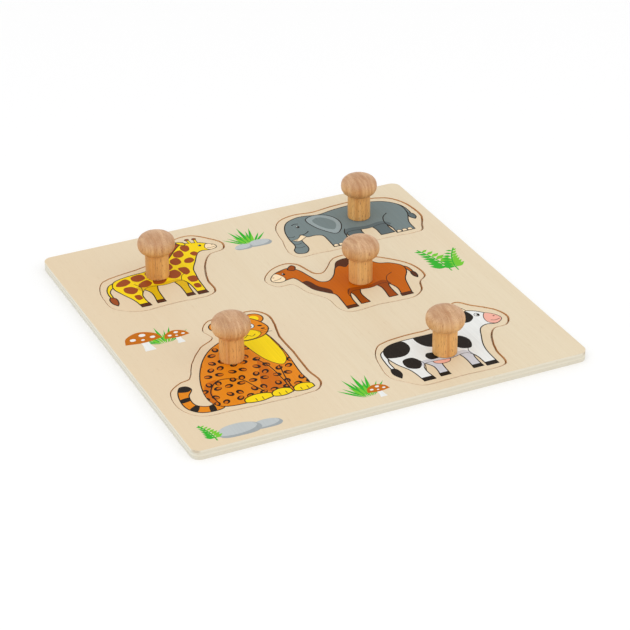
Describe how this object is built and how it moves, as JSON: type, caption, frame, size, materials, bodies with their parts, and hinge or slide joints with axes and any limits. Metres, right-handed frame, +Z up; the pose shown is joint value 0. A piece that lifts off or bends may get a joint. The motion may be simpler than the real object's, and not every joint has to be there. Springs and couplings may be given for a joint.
{
  "type": "peg puzzle",
  "caption": "Square wooden peg puzzle: printed animal insets lift out of matching pockets in a layered board by turned mushroom knobs screwed on from below.",
  "frame": {"origin": "middle of the board's underside, on the surface that it lies on", "axes": "+X along the near edge to the right, +Y away from the near edge, which is the way the printed animals stand up, +Z up along the knobs"},
  "size_m": [0.3, 0.3, 0.0429],
  "materials": {
    "base_wood": "sanded plywood, unvarnished",
    "frame_wood": "sanded plywood under a thin satin varnish, printed on top",
    "inset_wood": "sanded plywood with toasted saw-cut edges, printed on top",
    "knob_beech": "turned beech, smooth satin",
    "screw_steel": "bright zinc plated"
  },
  "bodies": {
    "tray": {"base_board": "base_wood", "frame_board": "frame_wood"},
    "giraffe": {"giraffe_inset": "inset_wood", "giraffe_knob": "knob_beech", "giraffe_screw": "screw_steel"},
    "elephant": {"elephant_inset": "inset_wood", "elephant_knob": "knob_beech", "elephant_screw": "screw_steel"},
    "camel": {"camel_inset": "inset_wood", "camel_knob": "knob_beech", "camel_screw": "screw_steel"},
    "leopard": {"leopard_inset": "inset_wood", "leopard_knob": "knob_beech", "leopard_screw": "screw_steel"},
    "cow": {"cow_inset": "inset_wood", "cow_knob": "knob_beech", "cow_screw": "screw_steel"}
  },
  "joints": [
    {"name": "giraffe_lift", "type": "slide", "parent": "tray", "child": "giraffe", "axis": [0, 0, 1], "range_m": [0, 0.06]},
    {"name": "elephant_lift", "type": "slide", "parent": "tray", "child": "elephant", "axis": [0, 0, 1], "range_m": [0, 0.06]},
    {"name": "camel_lift", "type": "slide", "parent": "tray", "child": "camel", "axis": [0, 0, 1], "range_m": [0, 0.06]},
    {"name": "leopard_lift", "type": "slide", "parent": "tray", "child": "leopard", "axis": [0, 0, 1], "range_m": [0, 0.06]},
    {"name": "cow_lift", "type": "slide", "parent": "tray", "child": "cow", "axis": [0, 0, 1], "range_m": [0, 0.06]}
  ]
}
